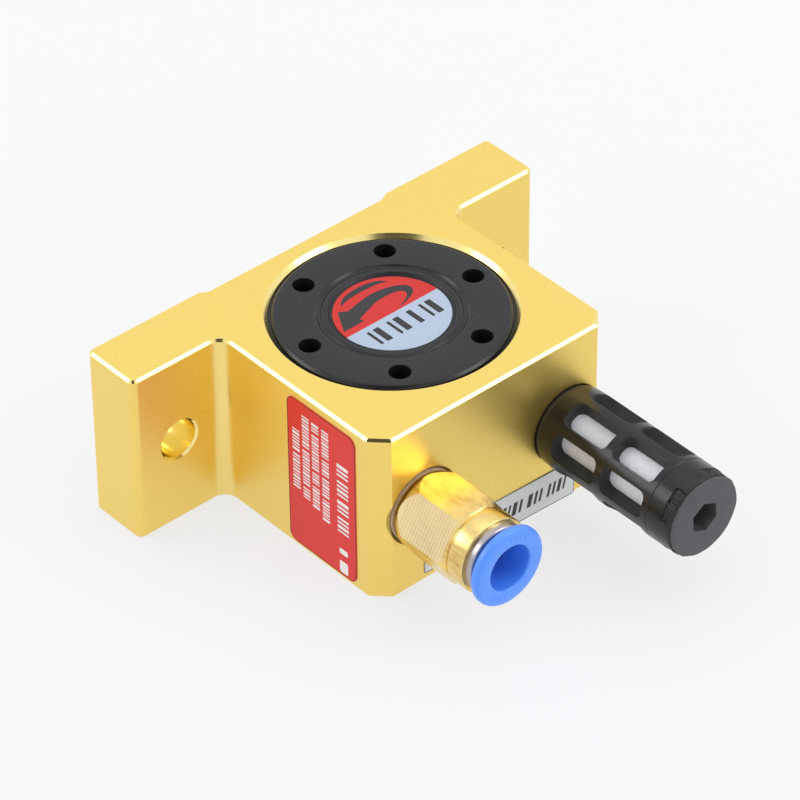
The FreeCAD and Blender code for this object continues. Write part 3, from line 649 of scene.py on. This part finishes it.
# %% Turn the cage and cut it
def sector_tool(inner, outer, low, high, angle):
    """A slice of a ring, centred on +X."""
    tool = bmesh.new()
    corners = [tool.verts.new((radius * MM, 0, height * MM))
               for radius, height in ((inner, low), (outer, low), (outer, high), (inner, high))]
    tool.faces.new(corners)
    bmesh.ops.rotate(tool, verts=tool.verts, matrix=Matrix.Rotation(-math.radians(angle / 2), 3, "Z"))
    bmesh.ops.spin(tool, geom=tool.verts[:] + tool.edges[:] + tool.faces[:], cent=(0, 0, 0),
                   axis=(0, 0, 1), angle=math.radians(angle), steps=10)
    bmesh.ops.recalc_face_normals(tool, faces=tool.faces)
    return tool


def silencer_cage():
    stud = [(STUD_BORE, STUD_END), (5.97, STUD_END), (STUD_RADIUS, -9.4), (STUD_RADIUS, 0)]
    neck = [(6.8, 0), (7.28, 1.0, 0.5), (CAGE_RADIUS, 2.7, 1.2)]
    seam = [(CAGE_RADIUS, SEAM - SEAM_DEPTH), (CAGE_RADIUS - SEAM_DEPTH, SEAM),
            (CAGE_RADIUS, SEAM + SEAM_DEPTH)]
    cap_seat = [(CAGE_RADIUS, CAGE_END, 0.22), (CAP_SEAT_RADIUS, CAGE_END),
                (CAP_SEAT_RADIUS, CAP_SEAT), (CAGE_BORE, CAP_SEAT)]
    floor_of_bore = [(CAGE_BORE, 1.5), (STUD_BORE, 1.5)]
    tube = turned(stud + neck + seam + cap_seat + floor_of_bore, steps=112)
    windows = spun_copies(window_tool(), WINDOWS, RIB_ANGLE + 180 / WINDOWS)
    cage = machined(tube, windows)
    notch = sector_tool(CAP_SEAT_RADIUS - 1, CAGE_RADIUS + 1, NOTCH_START, CAGE_END + 1, NOTCH_ANGLE)
    return machined(cage, spun_copies(notch, NOTCHES, NOTCH_FIRST))


finish_piece(onto_port(silencer_cage(), exhaust), "silencer_cage", BLOCK,
             cage_black, ["silencer_body"], soft_edge=0.16)

# %% [markdown]
# ## The silencer's end plug
# A separate, greyer plug closes the cage. It has a hexagonal socket for a key and four lugs that
# fill the cage's notches. The lugs were squashed flush by a hot tool, so their skin is torn: each
# lug is subdivided and its outer face is pushed in and out by a noise that is the same every time.

# %% Turn the plug, cut its socket and tear its lugs
PLUG_START = 26.6
PLAY = 0.03
SOCKET_RADIUS = 2.83
SOCKET_DEPTH = 5.0
SOCKET_TURN = math.radians(5)
SWELL = 0.16
TEAR = 0.4


def end_plug():
    spigot = [(0, PLUG_START), (CAGE_BORE - PLAY, PLUG_START), (CAGE_BORE - PLAY, CAP_SEAT),
              (CAP_SEAT_RADIUS - PLAY, CAP_SEAT), (CAP_SEAT_RADIUS - PLAY, CAGE_END + PLAY)]
    rim = [(CAP_RIM_RADIUS, CAGE_END + PLAY), (CAP_RIM_RADIUS, CAP_END, 0.2), (0, CAP_END)]
    plug = turned(spigot + rim, steps=72)
    for vert in plug.verts:
        reach = math.hypot(vert.co.x, vert.co.y)
        if vert.co.z > CAGE_END * MM and reach > 6 * MM:
            swell = SWELL * MM * noise.noise(Vector((vert.co.x, vert.co.y, 0)) / MM * 0.45)
            vert.co += Vector((vert.co.x, vert.co.y, 0)).normalized() * swell
    socket = bmesh.new()
    bmesh.ops.create_cone(socket, cap_ends=True, segments=6, radius1=SOCKET_RADIUS * MM,
                          radius2=SOCKET_RADIUS * MM, depth=2 * SOCKET_DEPTH * MM,
                          matrix=Matrix.Translation((0, 0, CAP_END * MM)))
    bmesh.ops.rotate(socket, verts=socket.verts, matrix=Matrix.Rotation(SOCKET_TURN, 3, "Z"))
    return machined(plug, socket)


def torn_lugs():
    lug = sector_tool(CAP_SEAT_RADIUS - 0.4, CAGE_RADIUS - 0.25, NOTCH_START + 0.15, CAGE_END,
                      NOTCH_ANGLE - 2)
    bmesh.ops.subdivide_edges(lug, edges=lug.edges, cuts=3, use_grid_fill=True)
    lugs = spun_copies(lug, NOTCHES, NOTCH_FIRST)
    for vert in lugs.verts:
        reach = math.hypot(vert.co.x, vert.co.y)
        if reach > (CAP_SEAT_RADIUS + 0.05) * MM:
            tear = noise.noise(vert.co / MM * 2.4) + 0.5 * noise.noise(vert.co / MM * 6.0)
            vert.co += Vector((vert.co.x, vert.co.y, 0)).normalized() * min(tear, 0.5) * TEAR * MM
    return lugs


finish_piece(onto_port(end_plug(), exhaust), "silencer_plug", BLOCK, cap_grey,
             ["silencer_end_cap"], soft_edge=0.1)
finish_piece(onto_port(torn_lugs(), exhaust), "silencer_plug_lugs", BLOCK,
             cage_black, smooth_below=25)

# %% [markdown]
# ## The brass fitting
# The fitting starts as hexagonal bar. The lathe turns the collar and bevels the hexagon's ends to
# a cone, which leaves curved corners on each flat. Every second flat still shows the mill's
# ridges: bars with a diamond section, sunk halfway into the flat, cut them as real grooves.

# %% Fitting sizes
HEX_FLATS = 13.4
HEX_LOW, HEX_HIGH = 0.15, 12.7
COLLAR_RADIUS = 6.75
COLLAR_END = 16.5
CORE_RADIUS = 6.1
TUBE_SEAT, TUBE_SEAT_START = 4.05, 3.9
GUIDE_SEAT, GUIDE_SEAT_START = 5.85, 7.9
AIR_WAY = 3
RIDGES = 17
RIDGE_START = 1.9
RIDGE_PITCH = 0.63
RIDGE_DEPTH = 0.2
RIDGE_FILL = 0.46
RIDGE_LENGTH = 9


def hexagon_bar():
    bar = bmesh.new()
    bmesh.ops.create_cone(bar, cap_ends=True, segments=6, radius1=HEX_FLATS / math.sqrt(3) * MM,
                          radius2=HEX_FLATS / math.sqrt(3) * MM, depth=(HEX_HIGH - HEX_LOW) * MM,
                          matrix=Matrix.Translation((0, 0, (HEX_LOW + HEX_HIGH) / 2 * MM)))
    bmesh.ops.rotate(bar, verts=bar.verts, matrix=Matrix.Rotation(math.radians(30), 3, "Z"))
    return bar


def ridge_tool():
    """Diamond bars lying across one flat, whose middle is on +X."""
    tool = bmesh.new()
    for index in range(RIDGES):
        height = HEX_LOW + RIDGE_START + index * RIDGE_PITCH
        diamond = bmesh.ops.create_circle(tool, cap_ends=True, segments=4, radius=1.0)["verts"]
        for vert in diamond:
            vert.co = Vector((HEX_FLATS / 2 + vert.co.x * RIDGE_DEPTH, -RIDGE_LENGTH / 2,
                              height + vert.co.y * RIDGE_PITCH * RIDGE_FILL)) * MM
    pushed = bmesh.ops.extrude_face_region(tool, geom=tool.faces[:])["geom"]
    moved = [item for item in pushed if isinstance(item, bmesh.types.BMVert)]
    bmesh.ops.translate(tool, verts=moved, vec=(0, RIDGE_LENGTH * MM, 0))
    bmesh.ops.recalc_face_normals(tool, faces=tool.faces)
    return tool


# %% Mill the hexagon and turn the rest
def fitting_hexagon():
    flat = HEX_FLATS / 2
    corner = HEX_FLATS / math.sqrt(3)
    envelope = turned([(0, HEX_LOW), (flat - 0.3, HEX_LOW), (corner + 0.05, HEX_LOW + 3.6),
                       (corner + 0.05, HEX_HIGH - 1.1), (flat - 0.1, HEX_HIGH), (0, HEX_HIGH)])
    grooved = machined(hexagon_bar(), spun_copies(ridge_tool(), 3, 30))
    return machined(grooved, envelope, "INTERSECT")


def fitting_turned():
    stud = [(AIR_WAY, STUD_END), (5.97, STUD_END), (STUD_RADIUS, -9.4), (STUD_RADIUS, -6.5),
            (CORE_RADIUS, -6.5), (CORE_RADIUS, HEX_HIGH - 0.6)]
    collar = [(6.5, HEX_HIGH - 0.3), (6.5, HEX_HIGH + 0.2), (COLLAR_RADIUS, HEX_HIGH + 0.5, 0.1),
              (COLLAR_RADIUS, COLLAR_END, 0.25)]
    bore = [(GUIDE_SEAT, COLLAR_END), (GUIDE_SEAT, GUIDE_SEAT_START), (TUBE_SEAT, GUIDE_SEAT_START),
            (TUBE_SEAT, TUBE_SEAT_START), (AIR_WAY, TUBE_SEAT_START)]
    return turned(stud + collar + bore)


def fitting_way():
    """The hole through the hexagon that the turned part fills."""
    return turned([(0, 0), (6.05, 0), (6.05, 14), (0, 14)])


def sealant_coat():
    """A coat on the stud's last turns, and a thin ring of it squeezed out behind the hexagon."""
    return turned([(CORE_RADIUS, -6.45), (STUD_RADIUS, -6.45), (STUD_RADIUS, -0.02), (6.3, 0),
                   (6.3, HEX_LOW - 0.02), (CORE_RADIUS, HEX_LOW - 0.02)])


hexagon = machined(fitting_hexagon(), fitting_way())
finish_piece(onto_port(fitting_turned(), inlet), "fitting_turned_body", BLOCK,
             brass, ["fitting_body"])
finish_piece(onto_port(hexagon, inlet), "fitting_hexagon", BLOCK, brass,
             smooth_below=20)
finish_piece(onto_port(sealant_coat(), inlet), "sealant_coat", BLOCK, sealant,
             ["fitting_thread_sealant"])

# %% [markdown]
# ## The blue release ring
# Pressing this ring in frees the tube. It is a smooth glossy moulding with a soft rim, a slotted
# barrel that reaches into the fitting, and a few small moulded marks on its face. It slides on its
# own body, so it is made as one piece that rides on the collet.

# %% Turn the release ring
RING_RADIUS = 7.1
RING_BACK, RING_FRONT = 18.8, 20.5
RING_BORE = 4.1
BARREL_RADIUS = 4.88
BARREL_START = 12.1
MARK_GROUPS = (55, 225)
MARKS_IN_GROUP = 4
MARK_STEP = 11
MARK_CIRCLE = 5.5


def release_ring():
    barb = [(RING_BORE, BARREL_START), (4.68, BARREL_START), (5.25, 12.7), (5.25, 13.4)]
    barrel = [(BARREL_RADIUS, 13.4), (BARREL_RADIUS, RING_BACK)]
    rim = [(RING_RADIUS, RING_BACK, 0.5), (RING_RADIUS, RING_FRONT, 0.75), (RING_BORE, RING_FRONT, 0.35)]
    slot = bmesh.new()
    bmesh.ops.create_cube(slot, size=1.0, matrix=Matrix.LocRotScale(
        Vector((5, 0, 13.0)) * MM, None, Vector((3, 0.7, 4.2)) * MM))
    return machined(turned(barb + barrel + rim), spun_copies(slot, 4, 45))


def ring_marks():
    """Small raised bars on the ring's face, in two groups."""
    marks = bmesh.new()
    for angle in (first + MARK_STEP * index for first in MARK_GROUPS for index in range(MARKS_IN_GROUP)):
        place = Matrix.Rotation(math.radians(angle), 4, "Z") @ Matrix.LocRotScale(
            Vector((MARK_CIRCLE, 0, RING_FRONT)) * MM, None, Vector((0.8, 0.28, 0.12)) * MM)
        bmesh.ops.create_cube(marks, size=1.0, matrix=place)
    return marks


finish_piece(onto_port(release_ring(), inlet), "release_ring", "collet", blue,
             ["release_collet"], smooth_below=40)
finish_piece(onto_port(ring_marks(), inlet), "release_ring_marks", "collet", blue,
             soft_edge=0.03)

# %% [markdown]
# ## Labels
# The side and front films come from the frame, and the round one is made here of a red and a pale
# half. Their print is a second, much thinner layer: flat shapes pushed out by about a hundredth of
# a millimetre, so that it stays crisp from any distance. Rows of plain strokes in word-long groups
# stand where a maker would print words.

# %% Print helpers
INK = 0.015
STROKES = (0.8, 1.2, 0.7, 1.5, 0.9)


def rounded_bar(work, x, y, width, height, corner):
    """Add a flat rounded rectangle, centred on x, y, as a thin slab."""
    slab = bmesh.ops.create_cube(work, size=1.0, matrix=Matrix.LocRotScale(
        Vector((x, y, INK / 2)) * MM, None, Vector((width, height, INK)) * MM))["verts"]
    upright = [edge for edge in work.edges if edge.verts[0] in slab and edge.verts[1] in slab
               and abs(edge.verts[0].co.z - edge.verts[1].co.z) > INK * MM / 2]
    bmesh.ops.bevel(work, geom=upright, offset=corner * MM, offset_type="OFFSET", segments=4,
                    profile=0.5, affect="EDGES", material=-1)


def word_rows(rows, lean=0.0):
    """Rows of upright strokes, as (y, height, stroke, start x, strokes in each word)."""
    work = bmesh.new()
    for y, height, stroke, start, words in rows:
        for word in words:
            for index in range(word):
                width = stroke * STROKES[(index + word) % len(STROKES)]
                rounded_bar(work, start + width / 2, y, width, height, stroke * 0.2)
                start += width + stroke * 0.9
            start += stroke * 1.2
    for vert in work.verts:
        vert.co.x += lean * vert.co.y
    return work


def place_print(work, origin, right, up):
    """Lay a print made in the XY plane onto a face with the given right and up directions."""
    right, up = Vector(right).normalized(), Vector(up).normalized()
    out = right.cross(up)
    turn = Matrix((right, up, out)).transposed().to_4x4()
    bmesh.ops.transform(work, matrix=Matrix.Translation(Vector(origin) * MM) @ turn, verts=work.verts)
    return work


print("print helpers ready")

# %% Round label: red half, pale half and a plain rotation arrow
label_low, label_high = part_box("rotation_label")
label_radius = (label_high.x - label_low.x) / 2 / MM
label_top = label_high.z / MM
LABEL_THICKNESS = 0.12
HEAD_OVERLAP = 6


def half_disc(front):
    """One half of the round label: the half towards the ports, or the other one."""
    disc = bmesh.new()
    bmesh.ops.create_cone(disc, cap_ends=True, segments=96, radius1=label_radius * MM,
                          radius2=label_radius * MM, depth=LABEL_THICKNESS * MM,
                          matrix=Matrix.Translation((0, 0, -LABEL_THICKNESS / 2 * MM)))
    bmesh.ops.bisect_plane(disc, geom=disc.verts[:] + disc.edges[:] + disc.faces[:], dist=1e-7,
                           plane_co=(0, 0, 0), plane_no=(0, 1 if front else -1, 0), clear_outer=True)
    bmesh.ops.holes_fill(disc, edges=[edge for edge in disc.edges if edge.is_boundary])
    bmesh.ops.recalc_face_normals(disc, faces=disc.faces)
    return disc


def oval(angle, wide, high, shift):
    """A point of an ellipse, at an angle in degrees."""
    return Vector((shift[0] + wide * math.cos(math.radians(angle)),
                   shift[1] + high * math.sin(math.radians(angle))))


def arrow_outline(steps=40):
    """A looped arrow seen at a slant: a thin tail at the right, then a broad band and its head."""
    outer, inner = [], []
    for index in range(steps + 1):
        share = index / steps
        angle = -78 + 210 * share
        outer.append(oval(angle, 6.6 - 0.6 * share, 2.75, (0.45, 3.25)))
        inner.append(oval(angle, 4.9 - 0.2 * share, 2.55 - 1.35 * share, (0.45, 3.05 - 0.7 * share)))
    head = [(-5.0, 5.1), (-6.4, 6.0), (-9.0, 1.45), (-4.7, 1.45), (-4.9, 2.3)]
    return outer[:-HEAD_OVERLAP] + [Vector(point) for point in head] + inner[:-HEAD_OVERLAP][::-1]


def crescent_outline(steps=24):
    """The far side of the loop: a sliver between two arcs."""
    outer = [oval(180 * index / steps, 4.8, 2.05, (0.0, 6.7)) for index in range(steps + 1)]
    inner = [oval(180 * index / steps, 4.6, 0.85, (0.0, 6.7)) for index in range(1, steps)]
    return outer + inner[::-1]


def inked(*outlines):
    """Flat outlines in millimetres, made into thin slabs of ink."""
    work = bmesh.new()
    faces = [work.faces.new([work.verts.new((point.x * MM, point.y * MM, 0)) for point in outline])
             for outline in outlines]
    pushed = bmesh.ops.extrude_face_region(work, geom=faces)["geom"]
    moved = [item for item in pushed if isinstance(item, bmesh.types.BMVert)]
    bmesh.ops.translate(work, verts=moved, vec=(0, 0, INK * MM))
    bmesh.ops.triangulate(work, faces=work.faces)
    bmesh.ops.recalc_face_normals(work, faces=work.faces)
    return work


label_centre = (rotor_axis.x, rotor_axis.y, label_top)
round_print = dict(origin=label_centre, right=(1, 0, 0), up=(0, 1, 0))
finish_piece(place_print(half_disc(False), **round_print), "round_label_red", BLOCK,
             label_red, ["rotation_label"])
finish_piece(place_print(half_disc(True), **round_print), "round_label_pale", BLOCK,
             label_pale)
finish_piece(place_print(inked(arrow_outline(), crescent_outline()), **round_print),
             "round_label_arrow", BLOCK, dark_ink)
round_rows = [(-3.1, 3.8, 0.8, -6.6, (2, 2, 1, 2))]
finish_piece(place_print(word_rows(round_rows), **round_print), "round_label_bars", BLOCK,
             dark_ink)

# %% Side label: white rows and a darker printed edge
side_low, side_high = (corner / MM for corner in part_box("side_label"))
side_middle = (side_low + side_high) / 2
side_length, side_width = side_high.z - side_low.z, side_high.y - side_low.y


def frame_line(width, height, corner, thick):
    """A thin rounded rectangle drawn as a line."""
    work = bmesh.new()
    rounded_bar(work, 0, 0, width, height, corner)
    hole = bmesh.new()
    rounded_bar(hole, 0, 0, width - 2 * thick, height - 2 * thick, corner - thick)
    bmesh.ops.scale(hole, verts=hole.verts, vec=(1, 1, 3))
    return machined(work, hole)


side_rows = [(5.1, 2.7, 0.48, -7.8, (3, 4, 3, 4)), (5.1, 2.0, 1.6, 9.4, (2,)),
             (1.0, 1.7, 0.34, -12.4, (9, 5, 6, 7)), (-1.4, 1.7, 0.34, -12.4, (3, 11, 4, 7)),
             (-3.7, 1.7, 0.34, -12.5, (10, 11, 4)), (-6.1, 1.7, 0.34, -8.7, (7, 11))]
on_side = dict(origin=(side_low.x, side_middle.y, side_middle.z), right=(0, 0, -1), up=(0, -1, 0))
finish_piece(place_print(word_rows(side_rows), **on_side), "side_label_rows", BLOCK,
             white_ink)
finish_piece(place_print(frame_line(side_length, side_width, 1.6, 0.22), **on_side),
             "side_label_edge", BLOCK, red_edge)

# %% Front label: dark bars and a thin dark border
TILT = math.radians(-2.3)
BORDER = (32.7, 7.0, 0.4, 0.12)
front_middle = middle("front_label") / MM
on_front = dict(origin=(front_middle.x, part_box("front_label")[0].y / MM, front_middle.z),
                right=(math.cos(TILT), 0, math.sin(TILT)), up=(-math.sin(TILT), 0, math.cos(TILT)))
front_rows = [(-0.2, 2.5, 0.62, -13.5, (3, 4, 2, 5, 3, 4))]
finish_piece(place_print(word_rows(front_rows, 0.2), **on_front), "front_label_bars", BLOCK,
             dark_ink)
finish_piece(place_print(frame_line(*BORDER), **on_front), "front_label_edge", BLOCK,
             dark_ink)

# %% [markdown]
# ## Table, light and camera
# A long lens a good arm's length away flattens the perspective as in a catalogue picture. The
# table is a plain pale sheet that keeps the object's shadow, and the light is a broad soft box
# above with two smaller ones at the sides. Bright metal shows what surrounds it, so the room is
# pale too. A round black flag stands behind the camera: edges that face the camera mirror it and
# turn dark, and that contrast is what makes a cut edge look like metal.

# %% Camera
AZIMUTH, ELEVATION, ROLL = (math.radians(angle) for angle in (-41.1325, 38.8744, -0.5445))
LENS = 218.73
DISTANCE = 0.78818
AIM = Vector((-0.00103, -0.02762, 0.0))

camera_data = bpy.data.cameras.new("camera")
camera_data.lens = LENS
camera = bpy.data.objects.new("camera", camera_data)
back = Vector((math.sin(AZIMUTH) * math.cos(ELEVATION), -math.cos(AZIMUTH) * math.cos(ELEVATION),
               math.sin(ELEVATION)))
right = Vector((math.cos(AZIMUTH), math.sin(AZIMUTH), 0))
up = back.cross(right)
turn = Matrix((right, up, back)).transposed() @ Matrix.Rotation(ROLL, 3, "Z")
camera.matrix_world = Matrix.Translation(AIM + back * DISTANCE) @ turn.to_4x4()
bpy.context.scene.collection.objects.link(camera)
bpy.context.scene.camera = camera
print("camera", round(LENS), "mm lens")

# %% Floor
def pale_floor():
    """White card that is lit through from below: most of its light is its own, so shadows stay faint."""
    card = Finish("floor_card", Roughness=0.9, Base_Color=(0.22, 0.22, 0.225), Specular_IOR_Level=0.0,
                  Emission_Color=(0.93, 0.935, 0.95), Emission_Strength=0.74)
    return card.material


floor_work = bmesh.new()
bmesh.ops.create_grid(floor_work, x_segments=1, y_segments=1, size=3.0,
                      matrix=Matrix.Translation((0, 0, housing_low.z * MM)))
floor = as_object(floor_work, "floor")
floor.data.materials.append(pale_floor())
print("floor at", round(housing_low.z, 2), "mm")

# %% Lamps and room
def soft_box(name, place, size, power):
    lamp_data = bpy.data.lights.new(name, "AREA")
    lamp_data.shape = "DISK"
    lamp_data.size = size
    lamp_data.energy = power
    lamp = bpy.data.objects.new(name, lamp_data)
    lamp.location = place
    lamp.rotation_mode = "QUATERNION"
    lamp.rotation_quaternion = Vector(place).to_track_quat("Z", "Y")
    bpy.context.scene.collection.objects.link(lamp)


soft_box("overhead", (0.15, -0.05, 1.2), 1.5, 2.5)
soft_box("left", (-0.785, 0.73, 0.64), 0.6, 2.5)
soft_box("right", (0.66, -0.81, 0.76), 0.6, 2.8)

FLAG = Vector((-0.50, -0.50, 0.70)).normalized()
FLAG_RADIUS, FLAG_DISTANCE = 0.42, 1.25
flag_work = bmesh.new()
bmesh.ops.create_circle(flag_work, cap_ends=True, segments=48, radius=FLAG_RADIUS,
                        matrix=Matrix.Translation(FLAG * FLAG_DISTANCE)
                        @ FLAG.to_track_quat("Z", "Y").to_matrix().to_4x4())
flag = as_object(flag_work, "flag")
flag.data.materials.append(Finish("flag_cloth", Roughness=0.9, Base_Color=(0.03, 0.03, 0.03)).material)

world = bpy.data.worlds.new("room")
bpy.context.scene.world = world
world.use_nodes = True
world.node_tree.nodes["Background"].inputs["Color"].default_value = (0.96, 0.975, 1.0, 1)
world.node_tree.nodes["Background"].inputs["Strength"].default_value = 1.0
bpy.context.scene.view_settings.view_transform = "Standard"
print("lit")
